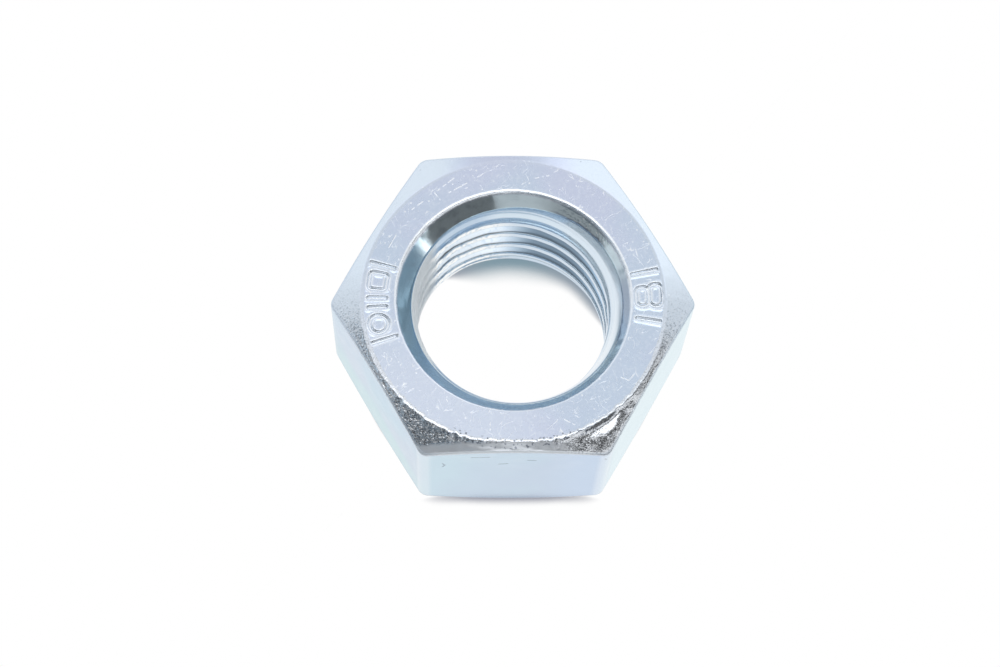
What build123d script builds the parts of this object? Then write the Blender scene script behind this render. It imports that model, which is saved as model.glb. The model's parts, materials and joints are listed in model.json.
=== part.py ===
from build123d import *
import os
from math import radians, sqrt, tan

# Hexagon nut for an M20 x 2.5 screw, chamfered and countersunk on both faces, in millimetres.
# It stands on z = 0 with its bore on the Z axis, and two of its six flats face -Y and +Y.

# The hexagon
across_flats = 29.2         # made to the lower end of the 29.16 to 30 that a 30 mm spanner takes
height = 14.9               # between the two bearing faces
corner_radius = 1.0         # rounding of the six upright edges

# The turned faces
bearing_diameter = 27.8     # flat ring left on each face inside the chamfer
chamfer_angle = 25.0        # between the chamfer cone and the face
bearing_edge_radius = 0.3   # where the flat ring rolls over into the chamfer

# The bore
thread_diameter = 20.0      # major diameter, at the roots of the internal thread
thread_pitch = 2.5
crest_relief = 0.22         # how far the thread's crests stand back from the basic profile
mouth_flare = 0.73          # how far the bore opens out between its crests and the countersink
mouth_depth = 4.0           # from each face to where the bore runs straight
countersink_margin = 0.8    # how far the countersink's rim lies outside the thread's roots
countersink_angle = 90.0    # included angle of the cone
rim_radius = 0.15           # break of the countersink's sharp rim

# An internal thread is 5/8 as deep as the sharp triangle of its pitch.
thread_depth = 5 / 8 * sqrt(3) / 2 * thread_pitch
bore_radius = thread_diameter / 2 - thread_depth + crest_relief
mouth_radius = bore_radius + mouth_flare
countersink_radius = thread_diameter / 2 + countersink_margin
countersink_depth = (countersink_radius - mouth_radius) / tan(radians(countersink_angle / 2))
bearing_radius = bearing_diameter / 2

# The chamfer cone is drawn out past the sharp corners, so that it runs off all six of them.
turned_radius = 1.05 * across_flats / sqrt(3)
chamfer_rise = (turned_radius - bearing_radius) * tan(radians(chamfer_angle))

os.makedirs("parts", exist_ok=True)

with BuildPart() as hex_nut:
    # Half section of everything that is turned: bore, mouths, countersinks, bearing faces and chamfers.
    with BuildSketch(Plane.XZ) as half_section:
        with BuildLine():
            Polyline(
                (bore_radius, mouth_depth),
                (mouth_radius, countersink_depth),
                (countersink_radius, 0),
                (bearing_radius, 0),
                (turned_radius, chamfer_rise),
                (turned_radius, height - chamfer_rise),
                (bearing_radius, height),
                (countersink_radius, height),
                (mouth_radius, height - countersink_depth),
                (bore_radius, height - mouth_depth),
                close=True,
            )
        make_face()
        lower_face, upper_face = (half_section.vertices().group_by(Axis.Y)[row] for row in (0, -1))
        rims = ShapeList(row.sort_by(Axis.X)[0] for row in (lower_face, upper_face))
        bearing_edges = ShapeList(row.sort_by(Axis.X)[-1] for row in (lower_face, upper_face))
        fillet(rims, rim_radius)
        fillet(bearing_edges, bearing_edge_radius)
    revolve(axis=Axis.Z)

    # The hexagon cuts the turned blank, which leaves the chamfers as arcs over the flats.
    with BuildSketch() as hexagon:
        RegularPolygon(across_flats / 2, 6, major_radius=False)
        fillet(hexagon.vertices(), corner_radius)
    extrude(amount=height, mode=Mode.INTERSECT)

hex_nut.part.label = "hex_nut"
export_step(hex_nut.part, "parts/hex_nut.step")
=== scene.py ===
import json
from functools import reduce
from math import cos, pi, radians, sin, sqrt, tan

import bmesh
import bpy
import numpy as np
from mathutils import Matrix, Vector


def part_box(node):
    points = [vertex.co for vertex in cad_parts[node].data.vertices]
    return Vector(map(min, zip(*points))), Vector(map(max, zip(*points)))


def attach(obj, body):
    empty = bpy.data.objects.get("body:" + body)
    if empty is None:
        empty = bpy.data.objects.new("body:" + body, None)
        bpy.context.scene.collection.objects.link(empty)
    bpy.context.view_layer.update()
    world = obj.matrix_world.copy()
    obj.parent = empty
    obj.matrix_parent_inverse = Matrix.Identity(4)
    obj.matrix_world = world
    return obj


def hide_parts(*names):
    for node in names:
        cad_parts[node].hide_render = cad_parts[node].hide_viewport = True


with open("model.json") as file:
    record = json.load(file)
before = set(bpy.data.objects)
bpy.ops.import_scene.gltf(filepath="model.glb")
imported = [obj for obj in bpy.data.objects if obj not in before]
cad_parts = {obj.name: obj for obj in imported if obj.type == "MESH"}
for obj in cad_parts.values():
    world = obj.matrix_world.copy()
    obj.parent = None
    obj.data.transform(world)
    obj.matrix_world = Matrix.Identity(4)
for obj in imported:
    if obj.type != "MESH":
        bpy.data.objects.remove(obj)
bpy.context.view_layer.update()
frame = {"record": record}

# A threaded hexagon nut in bright zinc-plated steel.
# Shapes are worked out in millimetres, with angles anticlockwise from +X, and go into the mesh in metres.
# It stands on z = 0, with its bore upright and two corners pointing to -X and +X.

MM = 0.001
TURN = 2 * pi

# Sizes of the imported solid
low_corner, high_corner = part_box("hex_nut")
HEIGHT = (high_corner.z - low_corner.z) / MM
ACROSS_FLATS = (high_corner.y - low_corner.y) / MM
ACROSS_CORNERS = (high_corner.x - low_corner.x) / MM
SHARP_CORNER_RADIUS = ACROSS_FLATS / sqrt(3)
CORNER_ROUNDING = (SHARP_CORNER_RADIUS - ACROSS_CORNERS / 2) / (2 / sqrt(3) - 1)

bore_mount = next(mount["dims"] for mount in frame["record"]["mounts"] if mount["name"] == "thread")
CREST_RADIUS = bore_mount["r_mm"]
MOUTH_DEPTH = (HEIGHT - bore_mount["length_mm"]) / 2    # from each face to where the bore runs straight

# The turned faces
RIM_RADIUS = 10.8                           # countersink's rim, whose wall leans 45 degrees
RIM_ROUNDING = 0.25
RIM_WEAR = 0.35                             # how much further the rim is rounded at the back
RIM_JAGGEDNESS = 0.01
BEARING_RADIUS = 13.9                       # outer edge of the flat ring
BEARING_ROUNDING = 0.9                      # where the ring rolls over into the chamfer
BEARING_SHARPNESS = 0.3                     # how much less it is rounded at the front
BEARING_UNEVENNESS = 0.12                   # share by which that rounding varies
EVEN_EDGE = 0.003                           # how jagged the ring's edge is at the back
JAGGED_EDGE = 0.05                          # and at the front
CHAMFER_SLOPE = tan(radians(25))
FLAT_EDGE_ROUNDING = 0.26                   # between a chamfer and a flat

# Wear of the upper face
WORN_ANGLE = 270.0                          # where the ring's edge is worn back, over the front flat
WORN_SPREAD = 13.0                          # degrees
WORN_DEPTH = 0.34
DENT_ANGLE = 303.0                          # a dent in the upper chamfer, over the right front corner
DENT_RADIUS = 13.95
DENT_DEPTH = 0.24
DENT_WIDTH = 0.9
DENT_LENGTH = 1.8
HAMMERED_DEPTH = 0.008                      # of the chamfers' broad unevenness
HAMMERED_FINE_DEPTH = 0.005                 # of their finer unevenness

# The thread, right-handed
PITCH = 2.5
ROOT_RADIUS = 10.0
ROOT_HALF_WIDTH = PITCH / 16
FLANK_SLOPE = tan(radians(60))              # fall in radius for each millimetre of height
GROOVE_START = 2.0                          # height at which the groove crosses +X
CREST_SOFTNESS = 0.22
ROOT_SOFTNESS = 0.1
CREST_UNEVENNESS = 0.012
SCRAPE_ANGLE = 150.0                        # where the crests are scraped by a bolt
SCRAPE_DEPTH = 0.05
THREAD_START = 0.7                          # depth in each countersink where the thread's mesh takes over
ROWS_PER_PITCH = 34

# The mouths, in which the bore opens out from the thread's crests to the countersinks
MOUTH_RADIUS = CREST_RADIUS + 0.73          # where the countersink ends and the bore starts to close in
CONE_DEPTH = RIM_RADIUS - MOUTH_RADIUS
MOUTH_SLOPE = (MOUTH_RADIUS - CREST_RADIUS) / (MOUTH_DEPTH - CONE_DEPTH)
MOUTH_SOFTNESS = 0.1
RUN_IN = 0.5                                # how much shallower the groove starts in the lower mouth
RUN_IN_HEIGHTS = 2.0, 3.6                   # between which it gains its full depth
ENTRY_HEIGHT = 11.815                       # where the upper mouth, a steep cone, reaches the crests
ENTRY_TILT = 0.625                          # how much lower it does so at +X, and higher at -X
ENTRY_SLOPE = 0.385                         # growth in radius for each millimetre of height
RUN_OUT_HEIGHTS = 10.9, 11.9                # between which the groove runs out into the upper mouth
LAST_STEP = 0.12                            # how deep it still is there, below its root's middle
LAST_RISE = 0.25                            # and how far the metal above its root stands proud

# Columns of the mesh, counted in twentieths of a degree so that the sets match exactly
UNITS = 7200
DEGREE = UNITS // 360


def soft_greatest(first, second, softness):
    """The greater of two arrays, rounded over where they cross: half of their sum and of the
    root of their squared difference plus the squared softness."""
    return (first + second + np.sqrt((first - second) ** 2 + softness ** 2)) / 2


def smooth_step(value, start, end):
    """0 before start, 1 after end, and 3t^2 - 2t^3 between them."""
    share = np.clip((value - start) / (end - start), 0, 1)
    return share * share * (3 - 2 * share)


def grain(points, wavelength, waves, seed):
    """Unevenness of about one wavelength: the mean of plane cosine waves in random directions,
    scaled to a spread of about one."""
    dice = np.random.default_rng(seed)
    directions = dice.normal(size=(3, waves))
    directions /= np.linalg.norm(directions, axis=0)
    lengths = wavelength * dice.uniform(0.6, 1.6, waves)
    phases = dice.uniform(0, TURN, waves)
    return np.cos(points @ (directions * TURN / lengths) + phases).sum(axis=-1) * sqrt(2 / waves)


def turned_from(angle, degrees):
    """Angle from a direction, which is given in degrees, between minus and plus half a turn."""
    return (angle - radians(degrees) + pi) % TURN - pi


def hexagon_radius(angle):
    """Distance from the axis to the hexagon's outline.

    A flat lies at half the width across flats, over the cosine of the angle from its middle. Near a
    corner it is a circle of the corner's rounding, about a point on the line to that corner.
    """
    from_corner = (angle + TURN / 12) % (TURN / 6) - TURN / 12
    flat = ACROSS_FLATS / 2 / np.cos(TURN / 12 - np.abs(from_corner))
    centre = (ACROSS_FLATS / 2 - CORNER_ROUNDING) / cos(TURN / 12)
    across = np.clip(CORNER_ROUNDING ** 2 - (centre * np.sin(from_corner)) ** 2, 0, None)
    corner = centre * np.cos(from_corner) + np.sqrt(across)
    tangent = np.arctan2(CORNER_ROUNDING * sin(TURN / 12), centre + CORNER_ROUNDING * cos(TURN / 12))
    return np.where(np.abs(from_corner) < tangent, corner, flat)


def rounded_path(corners, roundings, straight_rows, arc_rows, easing):
    """A section through corners that are rounded by arcs, for every column at once.

    Corners are (corner, column, radius and height). Each arc is a rational quadratic Bezier curve
    through its two tangent points, weighted by the cosine of half the turn, which makes it circular.
    An easing of 1 spaces a straight's rows as a cosine, close together at both ends, and 0 evenly.
    Returns the points, (row, column, 2), and each row's stretch: whole on a straight, a half on an arc.
    """
    steps = np.diff(corners, axis=0)
    along = steps / np.linalg.norm(steps, axis=2, keepdims=True)
    rows, stretches = [], []
    start = corners[0]
    for number, count in enumerate(straight_rows):
        last = number == len(straight_rows) - 1
        end = corners[-1]
        if not last:
            half_turn = np.arccos((along[number] * along[number + 1]).sum(axis=1)) / 2
            reach = (roundings[number] * np.tan(half_turn))[:, None]
            corner = corners[number + 1]
            end = corner - reach * along[number]
            arc_end = corner + reach * along[number + 1]
        even = np.arange(count + last)[:, None, None] / count
        share = even + easing[number] * ((1 - np.cos(pi * even)) / 2 - even)
        rows.append(start + share * (end - start))
        stretches.append(np.full(len(even), float(number)))
        if not last:
            share = np.arange(arc_rows[number])[:, None, None] / arc_rows[number]
            weights = (1 - share) ** 2, 2 * share * (1 - share) * np.cos(half_turn)[:, None], share ** 2
            arc = weights[0] * end + weights[1] * corner + weights[2] * arc_end
            rows.append(arc / sum(weights))
            stretches.append(np.full(len(share), number + 0.5))
            start = arc_end
    return np.concatenate(rows), np.concatenate(stretches)


# The stamped marks on the upper ring
# Each is drawn along the ring: across is millimetres outward from the mark's middle, along is
# millimetres anticlockwise round the ring.
NUMBER_ANGLE = 1.3
NUMBER_RADIUS = 12.4
FIELD_ANGLE = 181.6
FIELD_RADIUS = 12.45
STROKE_WIDTH = 0.44
STROKE_DEPTH = 0.17
LIP_HEIGHT = 0.05
FIELD_HALF_SIZE = 1.4, 4.15
FIELD_DEPTH = 0.05


def bar(across, along, start, end):
    """Distance to a straight stroke's middle line: to the nearest point between its two ends."""
    start, step = np.array(start), np.subtract(end, start)
    share = np.clip(((across - start[0]) * step[0] + (along - start[1]) * step[1]) / (step @ step), 0, 1)
    return np.hypot(across - start[0] - share * step[0], along - start[1] - share * step[1])


def rounded_box(across, along, centre, half_size, rounding):
    """Distance to a rounded box, below zero inside it."""
    over_across = np.abs(across - centre[0]) - half_size[0] + rounding
    over_along = np.abs(along - centre[1]) - half_size[1] + rounding
    beyond = np.hypot(np.maximum(over_across, 0), np.maximum(over_along, 0))
    return beyond + np.minimum(np.maximum(over_across, over_along), 0) - rounding


def pressed(distance, width, depth, lip):
    """Height of the metal beside a stroke: pressed in along its line, with a low bell-shaped lip
    thrown up on each side."""
    floor = -depth * (1 - smooth_step(distance, 0.1 * width, 0.55 * width))
    return floor + lip * np.exp(-((distance - 0.75 * width) / (0.28 * width)) ** 2)


def number_mark(across, along):
    """The figure 8 of the strength class, its long axis outward, between two bars."""
    strokes = [
        bar(across, along, (-1.3, 2.4), (1.1, 2.4)),
        bar(across, along, (-1.0, -2.35), (1.7, -2.35)),
        np.abs(rounded_box(across, along, (-0.62, -0.05), (0.58, 0.95), 0.5)),
        np.abs(rounded_box(across, along, (0.62, 0.05), (0.64, 1.02), 0.55)),
    ]
    return np.minimum.reduce(strokes)


def field_mark(across, along):
    """A plain row of a bar, a ring, two short bars, a square and a bar."""
    strokes = [
        bar(across, along, (-1.15, 3.7), (1.15, 3.7)),
        np.abs(rounded_box(across, along, (0.05, 2.1), (0.85, 0.85), 0.85)),
        bar(across, along, (-0.8, 0.45), (0.8, 0.45)),
        bar(across, along, (-0.8, -0.45), (0.8, -0.45)),
        np.abs(rounded_box(across, along, (0.05, -2.1), (0.8, 0.8), 0.3)),
        bar(across, along, (-1.15, -3.7), (1.15, -3.7)),
    ]
    return np.minimum.reduce(strokes)


def stamped_relief(radius, angle):
    """Height that the stamps add to the ring, and a mask that is 1 on their strokes."""
    number = number_mark(radius - NUMBER_RADIUS, NUMBER_RADIUS * turned_from(angle, NUMBER_ANGLE))
    across, along = radius - FIELD_RADIUS, FIELD_RADIUS * turned_from(angle, FIELD_ANGLE)
    field = field_mark(across, along)
    sunk = rounded_box(across, along, (0, 0), FIELD_HALF_SIZE, 0.4)
    relief = pressed(number, STROKE_WIDTH, STROKE_DEPTH, LIP_HEIGHT)
    relief += pressed(field, STROKE_WIDTH, STROKE_DEPTH, LIP_HEIGHT)
    relief -= FIELD_DEPTH * (1 - smooth_step(sunk, -0.12, 0.12))
    strokes = 1 - smooth_step(np.minimum(number, field), 0.5 * STROKE_WIDTH, 1.1 * STROKE_WIDTH)
    return relief, strokes


# Columns of the outside: even steps, closer ones over the upright corners and under the marks
def spread(start, end, step):
    """Column numbers from one angle to another, in degrees."""
    return np.arange(round(start * DEGREE), round(end * DEGREE) + 1, round(step * DEGREE)) % UNITS


one_side = np.array([0.4, 0.85, 1.3, 1.75, 2.2, 3.0])
corner_offsets = np.round(np.concatenate([-one_side, [0], one_side]) * DEGREE)
corner_columns = (np.arange(6)[:, None] * UNITS // 6 + corner_offsets).astype(int).ravel() % UNITS
bore_columns = spread(0, 357.75, 2.25)
side_columns = np.union1d(spread(0, 358.5, 1.5), corner_columns)
chamfer_columns = np.union1d(side_columns, spread(0, 359.25, 0.75))
mark_columns = np.concatenate([spread(-13.5, 15, 0.3), spread(159, 204, 0.3)])
ring_columns = np.union1d(chamfer_columns, mark_columns)

# Stretches of the outside's section, from the top round to the bottom, as rounded_path numbers them
CONE, RING, CHAMFER, FLAT, LOWER_CHAMFER, LOWER_RING, LOWER_CONE = range(7)


def nearest_column(wanted):
    """For each of the ring's columns, the place in ring_columns of the nearest one that is also wanted."""
    around = np.append(wanted, wanted[0] + UNITS)
    middles = (around[:-1] + around[1:]) / 2
    nearest = around[np.searchsorted(middles, ring_columns)] % UNITS
    return np.searchsorted(ring_columns, nearest)


def kept_columns(stretch):
    """The column that each point of a row moves to.

    The upper cone and ring keep all columns, the chamfer those that aren't only there for the marks,
    the flats and lower faces fewer, and the lower cone and both ends only those of the thread.
    """
    choices = np.stack([nearest_column(columns) for columns in
                        (bore_columns, side_columns, chamfer_columns, ring_columns)])
    bore, side, chamfer, ring = range(4)
    places = [stretch == LOWER_CONE, stretch < CHAMFER, stretch < FLAT]
    chosen = np.select(places, [bore, ring, chamfer], side)
    chosen[[0, -1]] = bore
    return choices[chosen]


def outside_section(angle):
    """One section for each angle, through the cone, rim, ring, chamfer and flat, and back below.

    The chamfer meets the flat where its cone reaches the hexagon's radius there. Over the front flat
    the ring's edge is worn back by a bell shape, and at the front it is jagged and less rounded.
    """
    edge = hexagon_radius(angle)
    circle = np.stack([np.cos(angle), np.sin(angle), np.zeros_like(angle)], axis=1)
    front = smooth_step(-circle[:, 1], 0.4, 0.8)
    back = smooth_step(circle[:, 1], -0.4, 0.7)
    rim = RIM_RADIUS + RIM_JAGGEDNESS * grain(circle * RIM_RADIUS, 1.0, waves=24, seed=4)
    worn = WORN_DEPTH * np.exp(-(turned_from(angle, WORN_ANGLE) / radians(WORN_SPREAD)) ** 2)
    jagged = EVEN_EDGE + (JAGGED_EDGE - EVEN_EDGE) * front
    bearing = BEARING_RADIUS - worn + jagged * grain(circle * BEARING_RADIUS, 0.7, waves=40, seed=3)
    uneven = np.clip(grain(circle * BEARING_RADIUS, 0.9, waves=40, seed=9), -3, 3)
    bearing_rounding = (BEARING_ROUNDING - BEARING_SHARPNESS * front) * (1 + BEARING_UNEVENNESS * uneven)
    chamfer_drop = (edge - BEARING_RADIUS) * CHAMFER_SLOPE

    def corner(radius, height):
        return np.stack([radius + 0 * angle, height + 0 * angle], axis=1)

    corners = np.stack([
        corner(RIM_RADIUS - THREAD_START, HEIGHT - THREAD_START),
        corner(rim, HEIGHT),
        corner(bearing, HEIGHT),
        corner(edge, HEIGHT - chamfer_drop),
        corner(edge, chamfer_drop),
        corner(BEARING_RADIUS, 0),
        corner(RIM_RADIUS, 0),
        corner(RIM_RADIUS - THREAD_START, THREAD_START),
    ])
    roundings = [RIM_ROUNDING + RIM_WEAR * back, bearing_rounding, FLAT_EDGE_ROUNDING,
                 FLAT_EDGE_ROUNDING, BEARING_ROUNDING, RIM_ROUNDING]
    straight_rows = [4, 36, 12, 12, 7, 5, 4]
    arc_rows = [5, 5, 5, 5, 4, 4]
    easing = [0, 0, 0.3, 1, 0.3, 0, 0]
    return rounded_path(corners, roundings, straight_rows, arc_rows, easing)


def chamfer_relief(place, radius, angle):
    """Height that wear adds to the chamfers, fading out towards the ring and the flats.

    Both have a hammered skin, strongest at the front. The upper one has a bell-shaped dent as well.
    """
    x, y, z = place[..., 0], place[..., 1], place[..., 2]
    from_flat = hexagon_radius(angle) - radius
    window = smooth_step(radius, BEARING_RADIUS, BEARING_RADIUS + 0.5) * smooth_step(from_flat, 0.05, 0.35)
    hammered = 0.15 + 0.85 * smooth_step(-y, 2, 8) * (1 - 0.5 * smooth_step(x, 1, 7))
    skin = HAMMERED_DEPTH * grain(place, 1.3, waves=40, seed=5)
    skin = hammered * (skin + HAMMERED_FINE_DEPTH * grain(place, 0.5, waves=40, seed=6))
    along = DENT_RADIUS * turned_from(angle, DENT_ANGLE)
    bell = np.exp(-((radius - DENT_RADIUS) / DENT_WIDTH) ** 2 - (along / DENT_LENGTH) ** 2)
    dent = DENT_DEPTH * bell * smooth_step(from_flat, 0.5, 1.6)
    return window * np.where(z > HEIGHT / 2, skin - dent, -skin)


def outside():
    """The nut's turned faces, chamfers and flats, from the thread's top end round to its lower end,
    and their masks."""
    angle = ring_columns * TURN / UNITS
    section, stretch = outside_section(angle)
    columns = kept_columns(stretch)
    section = np.take_along_axis(section, columns[:, :, None], axis=1)
    angle = angle[columns]
    radius, height = section[..., 0], section[..., 1]
    stretch = stretch[:, None] * np.ones_like(radius)

    def belongs_to(number):
        """1 on a stretch, a half on the arcs beside it."""
        return np.clip(1 - np.abs(stretch - number), 0, 1)

    on_ring = (stretch == RING) * smooth_step(radius, RIM_RADIUS + 0.05, RIM_RADIUS + 0.2)
    on_ring = on_ring * (1 - smooth_step(radius, BEARING_RADIUS - 0.2, BEARING_RADIUS - 0.02))
    relief, strokes = stamped_relief(radius, angle)
    place = np.stack([radius * np.cos(angle), radius * np.sin(angle), height + on_ring * relief], axis=-1)
    on_chamfer = (stretch == CHAMFER) | (stretch == LOWER_CHAMFER)
    place[..., 2] += on_chamfer * chamfer_relief(place, radius, angle)

    from_corner = np.abs((angle + TURN / 12) % (TURN / 6) - TURN / 12)
    upright = (stretch == FLAT) * (1 - smooth_step(from_corner, radians(1.5), radians(3)))
    masks = {
        "chamfer": belongs_to(CHAMFER) + belongs_to(LOWER_CHAMFER),
        "flat": belongs_to(FLAT),
        "bore": (stretch == CONE) | (stretch == LOWER_CONE),
        "edge": np.maximum(stretch % 1 > 0, upright),
        "stamp": on_ring * strokes,
    }
    return place, masks


def helix_rows():
    """Heights of the thread's rows, each row's height above the nearest root, and the angles.

    Every row rises by one pitch a turn, so that a row's end meets the start of the row one pitch
    higher. The rows that cross the bore are kept, and one more at each end.
    """
    lowest = GROOVE_START % PITCH - 2 * PITCH
    rows = int(np.ceil((HEIGHT - lowest) / PITCH)) * ROWS_PER_PITCH
    rise = PITCH / ROWS_PER_PITCH * np.arange(rows)
    angle = np.append(bore_columns, UNITS) * TURN / UNITS
    height = lowest + rise[:, None] + PITCH * angle / TURN
    within = (height.max(axis=1) > THREAD_START) & (height.min(axis=1) < HEIGHT - THREAD_START)
    crossing = np.flatnonzero(within)
    kept = np.arange(max(crossing[0] - 1, 0), min(crossing[-1] + 2, rows))
    above_root = (rise[kept] + PITCH / 2) % PITCH - PITCH / 2
    return height[kept], above_root[:, None], angle


def worn_crests(height, angle):
    """Radius of the straight bore: a little uneven, and scraped back where a bolt has rubbed it."""
    place = CREST_RADIUS * np.stack([np.cos(angle) + 0 * height, np.sin(angle) + 0 * height,
                                     height / CREST_RADIUS], axis=-1)
    scraped = smooth_step(np.cos(angle - radians(SCRAPE_ANGLE)), cos(radians(32)), cos(radians(12)))
    scraped = scraped * smooth_step(height, 3, 6) * (1 + grain(place, 0.8, waves=40, seed=8))
    uneven = CREST_UNEVENNESS * grain(place, 1.6, waves=30, seed=7)
    return CREST_RADIUS + uneven + SCRAPE_DEPTH * scraped


def thread():
    """The bore between the two countersinks, as a profile carried along a helix, and its masks.

    The radius is the greatest of three, with soft edges between them: the plain bore with its two
    mouths, the groove, and the countersinks' cones. The groove is the lesser of its root and its
    flanks, which fall on both sides by the tangent of 60 degrees. Its root starts shallow in the
    lower mouth, and runs out at the top into the upper one, a cone whose edge is tilted.
    """
    height, above_root, angle = helix_rows()
    inside = np.clip(height, THREAD_START, HEIGHT - THREAD_START)
    depth = np.minimum(inside, HEIGHT - inside)
    lower_mouth = MOUTH_RADIUS - MOUTH_SLOPE * (inside - CONE_DEPTH)
    upper_mouth = CREST_RADIUS + ENTRY_SLOPE * (inside - ENTRY_HEIGHT + ENTRY_TILT * np.cos(angle))
    plain = soft_greatest(worn_crests(inside, angle), np.maximum(lower_mouth, upper_mouth), MOUTH_SOFTNESS)

    flanks = ROOT_RADIUS - FLANK_SLOPE * (np.abs(above_root) - ROOT_HALF_WIDTH)
    root = ROOT_RADIUS - RUN_IN * (1 - smooth_step(inside, *RUN_IN_HEIGHTS))
    run_out = smooth_step(height - above_root, *RUN_OUT_HEIGHTS)
    last_root = upper_mouth + LAST_STEP - (LAST_STEP + LAST_RISE) * smooth_step(above_root, -0.4, 0.8)
    root = root + run_out * (last_root - root)
    groove = -soft_greatest(-flanks, -root, ROOT_SOFTNESS)

    cone = RIM_RADIUS - depth
    from_end = smooth_step(depth, THREAD_START, THREAD_START + 0.25)
    radius = soft_greatest(plain, groove, CREST_SOFTNESS)
    radius = soft_greatest(cone, radius, 0.07 * from_end)
    radius = np.where(from_end > 0, radius, cone)
    place = np.stack([radius * np.cos(angle), radius * np.sin(angle), inside], axis=-1)
    crest = smooth_step(plain - flanks, -0.15, 0.1) * smooth_step(depth, CONE_DEPTH, CONE_DEPTH + 0.3)
    nothing = np.zeros_like(radius)
    return place, {"chamfer": nothing, "flat": nothing, "bore": nothing + 1, "edge": crest, "stamp": nothing}


def grid_faces(rows, columns, first, wraps):
    """Corner numbers of a grid's four-sided faces, with its last column joined to its first if it wraps."""
    number = first + np.arange(rows * columns).reshape(rows, columns)
    if wraps:
        number = np.hstack([number, number[:, :1]])
    corners = number[:-1, :-1], number[:-1, 1:], number[1:, 1:], number[1:, :-1]
    return np.stack(corners, axis=-1).reshape(-1, 4)


def nut_mesh():
    """One closed mesh: the outside's grid and the thread's, merged where they meet."""
    outer, outer_masks = outside()
    inner, inner_masks = thread()
    vertices = np.concatenate([outer.reshape(-1, 3), inner.reshape(-1, 3)]) * MM
    faces = np.concatenate([
        grid_faces(*outer.shape[:2], 0, True),
        grid_faces(*inner.shape[:2], outer.shape[0] * outer.shape[1], False),
    ])
    mesh = bpy.data.meshes.new("nut_body")
    mesh.from_pydata(vertices.tolist(), [], faces.tolist())
    for name in outer_masks:
        values = np.concatenate([outer_masks[name].ravel(), inner_masks[name].ravel()])
        mesh.attributes.new(name, "FLOAT", "POINT").data.foreach_set("value", values.astype(np.float32))
    work = bmesh.new()
    work.from_mesh(mesh)
    bmesh.ops.remove_doubles(work, verts=work.verts, dist=0.0005 * MM)
    bmesh.ops.recalc_face_normals(work, faces=work.faces)
    work.to_mesh(mesh)
    work.free()
    mesh.polygons.foreach_set("use_smooth", np.ones(len(mesh.polygons), bool))
    mesh.update()
    return mesh


# Shader nodes written as arithmetic
class Wire:
    """One output of a node tree. Arithmetic on it adds Math nodes, and node() adds any other."""

    def __init__(self, tree, socket=None):
        self.tree = tree
        self.socket = socket

    def node(self, kind, settings=None, sockets=None, output=0):
        """Adds a node: its settings first, then its sockets' values or links."""
        made = self.tree.nodes.new(kind)
        for name, value in (settings or {}).items():
            setattr(made, name, value)
        for name, value in (sockets or {}).items():
            if isinstance(value, Wire):
                self.tree.links.new(value.socket, made.inputs[name])
            else:
                made.inputs[name].default_value = value
        return Wire(self.tree, made.outputs[output]) if len(made.outputs) else None

    def math(self, operation, first, second=0.0):
        return self.node("ShaderNodeMath", {"operation": operation}, {0: first, 1: second})

    def __add__(self, other):
        return self.math("ADD", self, other)

    def __radd__(self, other):
        return self.math("ADD", other, self)

    def __sub__(self, other):
        return self.math("SUBTRACT", self, other)

    def __rsub__(self, other):
        return self.math("SUBTRACT", other, self)

    def __mul__(self, other):
        return self.math("MULTIPLY", self, other)

    def __rmul__(self, other):
        return self.math("MULTIPLY", other, self)

    def __truediv__(self, other):
        return self.math("DIVIDE", self, other)

    def __pow__(self, other):
        return self.math("POWER", self, other)

    def size(self):
        return self.math("ABSOLUTE", self)

    def least(self, other):
        return self.math("MINIMUM", self, other)

    def greatest(self, other):
        return self.math("MAXIMUM", self, other)

    def step(self, start, end):
        """0 at start and 1 at end, eased between them; start may be the greater."""
        return self.node("ShaderNodeMapRange", {"interpolation_type": "SMOOTHSTEP"},
                         {"Value": self, "From Min": start, "From Max": end})

    def band(self, start, full, fading, end):
        """Rises from 0 at start to 1 at full, and falls from 1 at fading to 0 at end."""
        return self.step(start, full) * self.step(end, fading)

    def blend(self, colour_off, colour_on):
        """Mixes two colours by this wire."""
        return self.node("ShaderNodeMix", {"data_type": "RGBA"}, {0: self, 6: colour_off, 7: colour_on}, 2)

    def noise(self, size, detail=2.0, roughness=0.5, distortion=0.0):
        """Noise over this place, with features of about this size in millimetres."""
        return self.node("ShaderNodeTexNoise", None, {
            "Vector": self, "Scale": 1 / size, "Detail": detail, "Roughness": roughness,
            "Distortion": distortion})

    def stretched(self, turn, sizes):
        """This place turned, in degrees about X, Y and Z, and divided by a size along each turned axis."""
        return self.node("ShaderNodeMapping", {"vector_type": "TEXTURE"}, {
            "Vector": self, "Rotation": [radians(angle) for angle in turn], "Scale": sizes})


def colour(red, green, blue):
    return (red, green, blue, 1.0)


WHITE = colour(1.0, 1.0, 1.0)


def empty_tree(owner):
    """The node tree of a material or world, cleared."""
    owner.use_nodes = True
    owner.node_tree.nodes.clear()
    return owner.node_tree


def place_in_millimetres(tree):
    coordinates = Wire(tree).node("ShaderNodeTexCoord", output="Object")
    return coordinates.node("ShaderNodeVectorMath", {"operation": "SCALE"}, {0: coordinates, "Scale": 1 / MM})


def parts_of(vector):
    """The X, Y and Z of a vector."""
    return [vector.node("ShaderNodeSeparateXYZ", None, {0: vector}, axis) for axis in "XYZ"]


def mask(wire, name):
    """One of the mesh's own masks: chamfer, flat, bore, edge or stamp."""
    return wire.node("ShaderNodeAttribute", {"attribute_name": name}, output="Fac")


def round_the_axis(place, outward, along):
    """A place for noise whose features are drawn out: their size away from the axis, and round it."""
    x, y, _ = parts_of(place)
    distance = (x * x + y * y) ** 0.5
    size = BEARING_RADIUS / along
    return place.node("ShaderNodeCombineXYZ", None, {
        "X": x / distance * size, "Y": y / distance * size, "Z": distance / outward})


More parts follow.
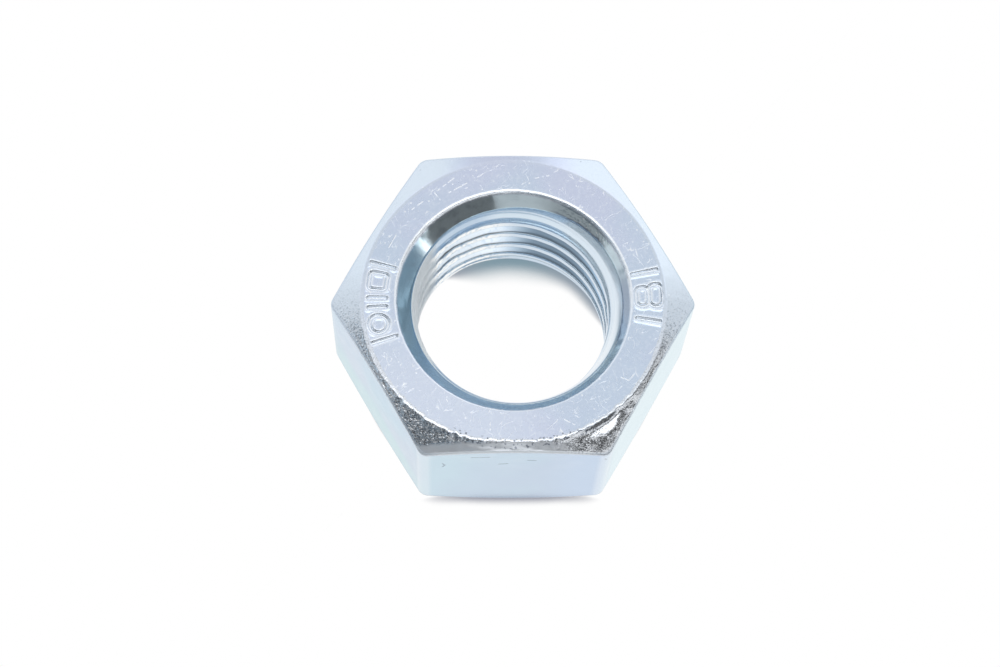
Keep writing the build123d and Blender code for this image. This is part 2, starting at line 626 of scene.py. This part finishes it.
def hairlines(place, turn, length, spacing, broken):
    """Thin scratches along one direction, in degrees: where noise, drawn out along it, passes its
    middle value, broken into pieces where a second noise is low."""
    turn = 0, 0, turn
    line = place.stretched(turn, (length, spacing, spacing)).noise(1.0, 1.0, 0.5, 0.3) - 0.5
    pieces = place.stretched(turn, (1.3, 0.6, 0.6)).noise(1.0, 1.0)
    return line.size().step(0.012, 0.0036) * pieces.step(broken, broken + 0.06)


def specks(place, spacing, radius, share):
    """Round specks: near the middle of the few cells whose random value is high enough."""
    cell = {"Vector": place, "Scale": 1 / spacing}
    distance = place.node("ShaderNodeTexVoronoi", None, cell)
    chosen = place.node("ShaderNodeTexVoronoi", None, cell, "Color")
    chosen = chosen.node("ShaderNodeSeparateColor", None, {0: chosen})
    return distance.step(radius / spacing, 0.5 * radius / spacing) * chosen.step(1 - share, 1 - share + 0.02)


def stroke(first, second, start, end, width):
    """A straight scratch on a plane: where the nearest point between its two ends is close."""
    step = end[0] - start[0], end[1] - start[1]
    share = ((first - start[0]) * step[0] + (second - start[1]) * step[1]) / (step[0] ** 2 + step[1] ** 2)
    share = share.greatest(0.0).least(1.0)
    aside = first - start[0] - share * step[0], second - start[1] - share * step[1]
    return (aside[0] * aside[0] + aside[1] * aside[1]).step(width ** 2, 0.1 * width ** 2)


def all_strokes(first, second, ends, width):
    """Several scratches on a plane, by the pairs of their ends: the greatest of them everywhere."""
    return reduce(Wire.greatest, [stroke(first, second, start, end, width) for start, end in ends])


# The zinc's finish, with shade and highlights painted into its colour in places
# A mask is 1 where something is and 0 elsewhere. Heights and distances are in millimetres, angles in
# degrees. The upper countersink's lower edge is tilted, because the mouth below it is off the axis.
CONE_EDGE_TILT = 0.041                      # its rise for each millimetre towards +X
CONE_EDGE = 13.55, 13.7
SMOOTH_BAND = 11.12, 11.25                  # the mouth's band over the last turn, above the helix


class Skin:
    """The places and masks that the finish is worked out from."""

    def __init__(self, tree):
        self.place = place_in_millimetres(tree)
        self.x, self.y, self.z = parts_of(self.place)
        self.from_axis_squared = self.x * self.x + self.y * self.y
        self.angle = self.place.math("ARCTAN2", self.y, self.x) * (180 / pi)
        self.drift = self.place.noise(9.0, 1.0)
        self.cloud = self.place.noise(1.3, 3.0)
        self.find_faces()
        self.find_scratches()
        self.find_wear()

    def find_faces(self):
        """The mesh's own masks, the parts of the bore, the front half, where the chamfers are coarse, and
        their smooth part over the front flat."""
        x, y = self.x, self.y
        names = "chamfer", "flat", "bore", "edge", "stamp"
        self.chamfer, self.flat, self.bore, self.edge, self.stamp = (mask(self.place, name) for name in names)
        self.ring = (1 - self.chamfer) * (1 - self.flat) * (1 - self.bore)
        self.above_cone_edge = self.z - CONE_EDGE_TILT * x
        self.in_cone = self.above_cone_edge.step(*CONE_EDGE)
        self.in_thread = self.bore * (1 - self.in_cone)
        above_helix = self.z - PITCH / 360 * self.angle
        self.smooth_band = self.in_thread * above_helix.step(*SMOOTH_BAND) * self.angle.step(-60, -30)
        self.front = y.step(3, -5)
        self.coarse = 0.08 + 0.92 * y.step(2, -5)
        self.smooth_front = y.step(-13.5, -13.9) * x.step(6.5, 2)

    def find_scratches(self):
        """Scratches, pale flecks and dark pits on the ring, and nicks in the front flat."""
        place, ring = self.place, self.ring
        short = hairlines(place, 35, 2.6, 0.8, 0.56)
        short = short.greatest(hairlines(place, 118, 2.0, 0.7, 0.58))
        short = short.greatest(hairlines(place, 75, 1.4, 0.5, 0.58))
        self.scratches = short * ring
        self.flecks = specks(place, 0.55, 0.12, 0.14) * (ring + 0.4 * self.chamfer)
        self.pits = specks(place, 0.5, 0.09, 0.06) * (ring + self.chamfer)
        self.long_scratches = ring_scratches(self)
        self.nicks = flat_nicks(self)

    def find_wear(self):
        """Rubbed edges, metal smeared over the thread at the left, the torn stretch of the countersink,
        and the pitted chamfers' grains, which the colour also marks with painted highlights and shade."""
        x, chamfer = self.x, self.chamfer
        foot = chamfer * self.flat * 4
        self.worn_and_highlighted_edge = foot * self.front * self.z.step(7, 12) * x.size().step(8.6, 6)
        self.smeared_and_highlighted = self.in_thread * x.step(-6.6, -7.9)
        self.torn_and_shaded = self.in_cone * self.bore * self.angle.band(26, 40, 58, 72)
        grains = self.place.noise(0.16, 2.0, 0.6)
        grainy = chamfer * self.coarse * (1 - self.smooth_front)
        self.glinting_grains = grains.step(0.55, 0.66) * grainy
        self.shaded_grains = grains.step(0.46, 0.37) * grainy


def ring_scratches(skin):
    """The ring's longest scratches, by their ends in X and Y."""
    ends = [
        ((-7.2, 10.6), (-5.4, 12.1)), ((-7.2, 10.6), (-6.7, 9.9)), ((-5.9, 10.6), (-4.2, 11.6)),
        ((-9.3, 8.9), (-8.3, 9.7)), ((11.3, 4.9), (11.7, 3.4)), ((4.4, -11.6), (5.3, -12.1)),
        ((9.6, -7.6), (10.3, -7.9)), ((-11.4, 5.1), (-10.6, 6.6)), ((2.2, 12.1), (3.6, 12.4)),
    ]
    uneven = skin.place.noise(0.4, 1.0).step(0.42, 0.55)
    return all_strokes(skin.x, skin.y, ends, 0.07) * skin.ring * uneven


def flat_nicks(skin):
    """Small dark nicks on the front flat, by their ends in X and Z."""
    ends = [
        ((-6.5, 11.4), (-6.3, 10.9)), ((-6.3, 10.9), (-6.5, 10.4)), ((-3.9, 13.1), (-2.3, 13.2)),
        ((1.2, 12.3), (1.9, 12.2)), ((-1.4, 11.2), (-0.6, 11.3)), ((8.1, 12.6), (8.3, 12.1)),
    ]
    return all_strokes(skin.x, skin.z, ends, 0.10) * skin.flat * skin.y.step(-13.5, -14.0)


def ring_film(skin):
    """Pale blue drifting to lilac, and paler at the left front."""
    film = skin.drift.step(0.35, 0.65).blend(colour(0.55, 0.645, 0.78), colour(0.58, 0.635, 0.79))
    left_front = skin.y.step(2, -9) * skin.x.step(7, -3)
    return left_front.blend(film, colour(0.65, 0.72, 0.85))


def lit_flat_film(skin):
    """Blue at the front, turning to cyan at its left and violet at its right. The left flats drift from
    green-blue below to blue and lilac, and the right ones are painted palest, as painted light."""
    x, z, drift = skin.x, skin.z, skin.drift
    to_cyan = (0.2 - 0.13 * x + 2.0 * (drift - 0.5)).least(1.0).greatest(0.0)
    film = to_cyan.blend(colour(0.53, 0.64, 0.78), colour(0.55, 0.71, 0.81))
    film = x.step(2, 6.5).blend(film, colour(0.54, 0.66, 0.83))
    left = z.step(2, 12).blend(colour(0.50, 0.71, 0.77), colour(0.47, 0.655, 0.80))
    left = (0.7 * drift.step(0.42, 0.65)).blend(left, colour(0.56, 0.65, 0.80))
    film = x.step(-7.6, -9.5).blend(film, left)
    # Painted light: the right flats near white
    return x.step(7.6, 9.5).blend(film, colour(0.69, 0.875, 0.945))


def shaded_cone_film(skin):
    """The upper countersink: blue, with painted shade that makes it deeper at the left, dark at the right
    and mottled dark at the left back.
    """
    x, y = skin.x, skin.y
    # Painted shade: deeper teal at the left, dark at the right, and dark mottling at the left back
    film = x.step(-7.5, -9.5).blend(colour(0.63, 0.745, 0.81), colour(0.42, 0.57, 0.66))
    shaded_right = x.step(8.8, 9.8) * y.band(-6, -3, 1, 4)
    film = shaded_right.blend(film, colour(0.36, 0.43, 0.53))
    shaded_mottle = skin.cloud.step(0.4, 0.7) * y.step(1, 4) * x.step(0, -3)
    return (0.5 * shaded_mottle).blend(film, colour(0.36, 0.43, 0.50))


def bore_film(skin):
    """Blue on the thread. The smooth band over it is paler, and deeper blue at the left back."""
    band = skin.angle.step(96, 50).blend(colour(0.66, 0.77, 0.86), colour(0.70, 0.80, 0.89))
    band = skin.angle.step(96, 112).blend(band, colour(0.52, 0.64, 0.77))
    film = skin.smooth_band.blend(colour(0.60, 0.705, 0.81), band)
    return skin.in_cone.blend(film, shaded_cone_film(skin))


def shaded_chamfer_film(skin, ring):
    """Blue-grey, with painted shade that makes it greyer at the front and darkest on the smooth part over
    the front flat, and like the ring over the back flat."""
    # Painted shade: greyer at the front and darkest over the front flat
    film = skin.y.step(-2, -7).blend(colour(0.60, 0.68, 0.77), colour(0.64, 0.67, 0.71))
    over_back_flat = skin.y.step(6, 11) * skin.x.size().step(7, 4)
    film = over_back_flat.blend(film, ring)
    return skin.smooth_front.blend(film, colour(0.54, 0.575, 0.62))


def film_and_painted_light(skin):
    """Colour of the unworn film on every face, with painted shade on the countersink and chamfers
    and painted light on the right flats.
    """
    ring = ring_film(skin)
    film = skin.flat.blend(ring, lit_flat_film(skin))
    film = skin.bore.blend(film, bore_film(skin))
    return skin.chamfer.blend(film, shaded_chamfer_film(skin, ring))


def marked_film(film, skin):
    """The film with mottling, scratches, pale flecks, dark pits and nicks."""
    mottle = skin.place.noise(0.3, 2.0, 0.6).step(0.45, 0.75) * skin.ring
    film = (0.2 * mottle).blend(film, colour(0.84, 0.90, 0.96))
    pale = (0.6 * skin.scratches).greatest(0.6 * skin.flecks).greatest(0.7 * skin.long_scratches)
    film = pale.blend(film, colour(0.92, 0.95, 0.98))
    dark = (0.35 * skin.pits).greatest(0.6 * skin.nicks)
    return dark.blend(film, colour(0.20, 0.25, 0.33))


def highlighted_rubbed_film(film, skin):
    """The film worn bright on the edges and painted pale there as a highlight, most on the rim at the
    back and the ring's edge at the front, along the chamfers' foot, and in the stamps."""
    edge, front = skin.edge, skin.front
    rim = edge * (1 - skin.bore) * skin.from_axis_squared.step(11.5 ** 2, 11.3 ** 2)
    # Painted highlights: pale edges, the rim at the back, the chamfers' foot and the stamps
    bright = ((0.08 + 0.25 * front) * edge).greatest((0.8 - 0.5 * front) * rim)
    bright = bright.greatest(0.8 * skin.worn_and_highlighted_edge).greatest(0.65 * skin.stamp)
    return bright.blend(film, colour(0.88, 0.92, 0.96))


def highlighted_scrape_film(film, skin):
    """The thread scraped at the left back, mostly on its crests, and smeared at the left; both are
    painted near white, partly as a painted highlight.
    """
    scraped = skin.in_thread * (1 - skin.smooth_band) * skin.angle.band(84, 104, 140, 158)
    scraped = scraped * (0.35 + 0.65 * skin.edge) * skin.place.noise(0.4, 2.0).step(0.3, 0.5)
    # Painted highlight: the scraped crests and the smeared wall near white
    film = (0.9 * scraped).blend(film, colour(0.97, 0.98, 0.97))
    return skin.smeared_and_highlighted.blend(film, colour(0.96, 0.99, 1.0))


def patchy_flat_film(film, skin):
    """The flats faintly paler in patches in their upper half."""
    paler_patches = skin.place.noise(2.2, 3.0).step(0.4, 0.8) * skin.flat * skin.z.step(7, 13)
    return (0.12 * paler_patches).blend(film, colour(0.86, 0.90, 0.93))


def shaded_torn_film(film, skin):
    """The torn stretch of the countersink: a ragged dark foot of painted shade, and pale specks over it
    as painted glints.
    """
    ragged = skin.above_cone_edge - 0.4 * (skin.cloud - 0.5)
    # Painted shade on the torn stretch's foot, and painted glints over it
    film = (0.85 * skin.torn_and_shaded * ragged.step(13.96, 13.8)).blend(film, colour(0.16, 0.21, 0.30))
    pale = skin.torn_and_shaded * specks(skin.place, 0.3, 0.1, 0.3) * skin.z.step(14.0, 14.1)
    return (0.8 * pale).blend(film, colour(0.95, 0.97, 0.99))


def shaded_grainy_film(film, skin):
    """The front chamfers' pitted grains painted dark and pale as shade and glints, and dark specks of
    painted shade along the worn edge of the ring.
    """
    along_edge = skin.from_axis_squared.band(13.35 ** 2, 13.6 ** 2, 14.2 ** 2, 14.5 ** 2)
    dark = skin.place.noise(0.24, 1.0).step(0.60, 0.64) * along_edge * skin.y.step(-12, -12.8)
    # Painted shade: dark specks along the ring's edge and dark grains; painted glints: pale grains
    film = (0.8 * dark).blend(film, colour(0.12, 0.14, 0.19))
    film = (0.65 * skin.shaded_grains).blend(film, colour(0.13, 0.15, 0.19))
    return (0.5 * skin.glinting_grains).blend(film, colour(0.88, 0.91, 0.94))


def film_roughness(skin):
    """Satin on the ring, smoother in the bore and on the chamfers, dull along their foot and where
    the thread is smeared."""
    rough = 0.22 + 0.10 * skin.cloud + 0.08 * skin.scratches
    rough = rough - 0.13 * skin.bore - 0.14 * skin.chamfer - 0.05 * skin.flat
    rough = rough + 0.08 * skin.smooth_front * skin.chamfer + 0.8 * skin.chamfer * skin.flat
    return rough + 0.45 * skin.smeared_and_highlighted


def dullness(skin):
    """How much of the surface scatters light instead of mirroring it."""
    smeared_or_smooth = (0.4 * skin.smeared_and_highlighted).greatest(0.65 * skin.smooth_front * skin.chamfer)
    return smeared_or_smooth.greatest(0.6 * skin.worn_and_highlighted_edge).greatest(0.3 * skin.glinting_grains)


def fine_relief(skin):
    """Heights in millimetres: a skin all over, pits and outward streaks on the chamfers, turning lines
    in the bore, a torn and uneven countersink, and the depth of every mark."""
    place = skin.place
    even_skin = 0.008 * place.noise(0.25, 2.0, 0.55) + 0.005 * place.noise(0.7, 2.0)
    pitted = 0.022 * place.noise(0.17, 2.0, 0.6) + 0.010 * place.noise(0.45, 2.0)
    pitted = pitted + 0.015 * specks(place, 0.28, 0.1, 0.35)
    pitted = pitted * (1 - 0.9 * skin.smooth_front) * (1 - 0.55 * skin.x.step(3.5, 7.5))
    streaks = 0.007 * round_the_axis(place, 1.1, 0.18).noise(1.0, 2.0, 0.6) * skin.x.step(4, 9)
    turned = 0.0014 * place.stretched((0, 0, 0), (9.0, 9.0, 0.16)).noise(1.0, 2.0)
    relief = even_skin * (skin.ring + 0.3 * skin.flat) + (pitted + streaks) * skin.chamfer * skin.coarse
    relief = relief + turned * skin.bore + 0.02 * place.noise(0.3, 2.0) * skin.torn_and_shaded
    relief = relief + 0.006 * place.noise(0.9, 2.0) * skin.in_cone * skin.bore
    relief = relief - 0.006 * skin.scratches - 0.015 * skin.long_scratches - 0.01 * skin.pits
    return relief + 0.006 * skin.flecks - 0.02 * skin.nicks


def zinc_plating():
    """Bright blue-white zinc plating over steel, with shade and highlights painted into its colour."""
    material = bpy.data.materials.new("zinc_plated_steel")
    skin = Skin(empty_tree(material))
    film = film_and_painted_light(skin)
    # Marks and wear, among them painted highlights and painted shade
    for wear in (marked_film, highlighted_rubbed_film, highlighted_scrape_film, patchy_flat_film, shaded_torn_film, shaded_grainy_film):
        film = wear(film, skin)
    place = skin.place
    normal = place.node("ShaderNodeBump", None, {"Height": fine_relief(skin), "Distance": MM})
    surface = place.node("ShaderNodeBsdfPrincipled", None, {
        "Base Color": film, "Metallic": 1 - dullness(skin), "Roughness": film_roughness(skin),
        "Normal": normal})
    place.node("ShaderNodeOutputMaterial", None, {"Surface": surface})
    return material


def background_rays(wire):
    """1 for rays that should find the plain white background: straight, mirrored or refracted."""
    names = "Is Camera Ray", "Is Glossy Ray", "Is Transmission Ray"
    return reduce(Wire.greatest, [wire.node("ShaderNodeLightPath", None, None, name) for name in names])


def white_floor():
    """A white floor that keeps the contact shadow: it darkens where the nut covers the sky, in a
    narrow line outside the nut and further out from the wall at the back of its bore."""
    material = bpy.data.materials.new("white_floor")
    place = place_in_millimetres(empty_tree(material))
    x, y, _ = parts_of(place)
    in_bore = (x * x + y * y).step(11.5 ** 2, 10.5 ** 2) * y.step(0, 6)
    in_bore = in_bore * x.step(-7.5, -1) * (1 - 0.5 * x.step(1, 6.5))
    in_front = y.step(-13.5, -14.8) * (0.7 + 0.35 * x.size().step(4, 7.5))
    reach = (0.35 + in_front + 2.5 * in_bore) * MM
    open_sky = place.node("ShaderNodeAmbientOcclusion", {"samples": 16}, {"Distance": reach}, "AO")
    darkest = in_bore.blend(colour(0.34, 0.35, 0.41), colour(0.22, 0.32, 0.38))
    tint = open_sky.step(0.35, 0.95).blend(darkest, WHITE)
    seen = place.node("ShaderNodeEmission", None, {"Color": tint, "Strength": 1.0})
    paper = place.node("ShaderNodeBsdfDiffuse", None, {"Color": colour(0.85, 0.85, 0.85)})
    mixed = place.node("ShaderNodeMixShader", None, {0: background_rays(place), 1: paper, 2: seen})
    place.node("ShaderNodeOutputMaterial", None, {"Surface": mixed})
    return material


def add_floor():
    reach = 2.0
    corners = [(-reach, -reach, 0), (reach, -reach, 0), (reach, reach, 0), (-reach, reach, 0)]
    mesh = bpy.data.meshes.new("floor")
    mesh.from_pydata(corners, [], [(0, 1, 2, 3)])
    mesh.materials.append(white_floor())
    floor = bpy.data.objects.new("floor", mesh)
    bpy.context.scene.collection.objects.link(floor)


# The studio: a white room with a brighter ceiling light, and dark screens round the camera
# Azimuths are from the camera's side, positive to its right, and all bands are in degrees.
ROOM_LEVEL = 0.92
SCREEN_SAG = 0.0018                         # degrees for each squared degree of azimuth
CEILING_LIGHT = 1.2
PALE_BLUE = colour(0.74, 0.88, 1.0)


def side_screen(azimuth, rise):
    """A low pale blue screen on the right, a little behind the camera's side."""
    return rise.band(-4, 4, 30, 40) * azimuth.band(77, 81, 125, 140)


def dark_screens(azimuth, rise):
    """How much light the screens take away, in a high row and a low one."""
    left_end = 1 - 0.2 * azimuth.step(-70, -84)
    high_left = 0.86 * rise.band(54, 58, 66, 70) * azimuth.band(-110, -104, -42, -10) * left_end
    high = rise.band(55, 58, 66, 70)
    high_middle = 0.56 * high * azimuth.band(-42, -10, 24, 36)
    high_right = 0.86 * high * azimuth.band(24, 36, 101, 107)
    low = rise.band(-4, 4, 30, 40)
    low_left = 0.55 * low * azimuth.band(-76, -68, -38, -12)
    low_middle = 0.3 * low * azimuth.band(-38, -12, 13, 16)
    low_right = 0.74 * low * azimuth.band(13, 16, 70, 74)
    low_side = 0.42 * side_screen(azimuth, rise)
    return high_left + high_middle + high_right + low_left + low_middle + low_right + low_side


def back_light(azimuth, elevation):
    """Light added behind the nut on both sides, a little more on the right."""
    both_sides = azimuth.size().band(110, 130, 164, 176) * elevation.band(2, 8, 40, 50)
    return both_sides * (0.25 + 0.15 * azimuth.step(-20, 20))


def add_studio():
    """The world, which lights and mirrors the room, and shows the camera plain white."""
    world = bpy.data.worlds.new("studio")
    bpy.context.scene.world = world
    direction = Wire(empty_tree(world)).node("ShaderNodeTexCoord", output="Generated")
    x, y, z = parts_of(direction)
    azimuth = direction.math("ARCTAN2", x, 0 - y) * (180 / pi)
    elevation = direction.math("ARCSINE", z) * (180 / pi)
    over_the_top = direction.math("ARCTAN2", z, 0 - y) * (180 / pi)

    # The screens sink towards their ends, as the eye sees an edge that runs past it
    rise = elevation + SCREEN_SAG * azimuth * azimuth
    ahead = azimuth.band(-104, -98, 66, 92)
    right_side = azimuth.step(22, -16)
    dark_strip = ahead * rise.step(27, 30) * (rise - 10 * right_side).step(39, 35)
    pale_strip = ahead * rise.band(42, 46, 55, 58)
    pale_level = 0.35 - 0.12 * azimuth.step(28, 45) - 0.8 * right_side * azimuth.step(-92, -50)
    ceiling = rise.step(70, 74) * over_the_top.step(95, 89)
    glint = azimuth.band(69, 72, 75, 78) * elevation.band(2, 5, 16, 20)

    level = ROOM_LEVEL - dark_screens(azimuth, rise) + pale_level * pale_strip
    level = level * (1 - 0.72 * dark_strip) + CEILING_LIGHT * ceiling
    level = level + back_light(azimuth, elevation) + 1.3 * glint
    blue = dark_strip.greatest(pale_strip * right_side).greatest(side_screen(azimuth, rise))
    tint = blue.blend(WHITE, PALE_BLUE)
    camera_ray = direction.node("ShaderNodeLightPath", None, None, "Is Camera Ray")
    level = camera_ray + (1 - camera_ray) * level
    tint = camera_ray.blend(tint, WHITE)
    room = direction.node("ShaderNodeBackground", None, {"Color": tint, "Strength": level})
    direction.node("ShaderNodeOutputWorld", None, {"Surface": room})


# The photograph's camera, above and in front, whose axes and place come from fitting the nut's edges
CAMERA_LENS = 81.167
CAMERA_SENSOR = 36.0
CAMERA_RIGHT = 0.999584, -0.010552, 0.026843
CAMERA_BACK = -0.028841, -0.355692, 0.934158
CAMERA_PLACE = -0.00718, -0.076084, 0.205854


def add_camera():
    camera = bpy.data.cameras.new("camera")
    camera.sensor_width = CAMERA_SENSOR
    camera.lens = CAMERA_LENS
    camera.clip_start = 0.01
    back = Vector(CAMERA_BACK).normalized()
    up = back.cross(Vector(CAMERA_RIGHT).normalized()).normalized()
    right = up.cross(back)
    item = bpy.data.objects.new("camera", camera)
    item.matrix_world = Matrix((right, up, back)).transposed().to_4x4()
    item.location = CAMERA_PLACE
    bpy.context.scene.collection.objects.link(item)
    bpy.context.scene.camera = item


nut = bpy.data.objects.new("nut_body", nut_mesh())
nut.data.materials.append(zinc_plating())
bpy.context.scene.collection.objects.link(nut)
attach(nut, "root")
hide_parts("hex_nut")

add_floor()
add_studio()
add_camera()
bpy.context.scene.view_settings.view_transform = "Standard"
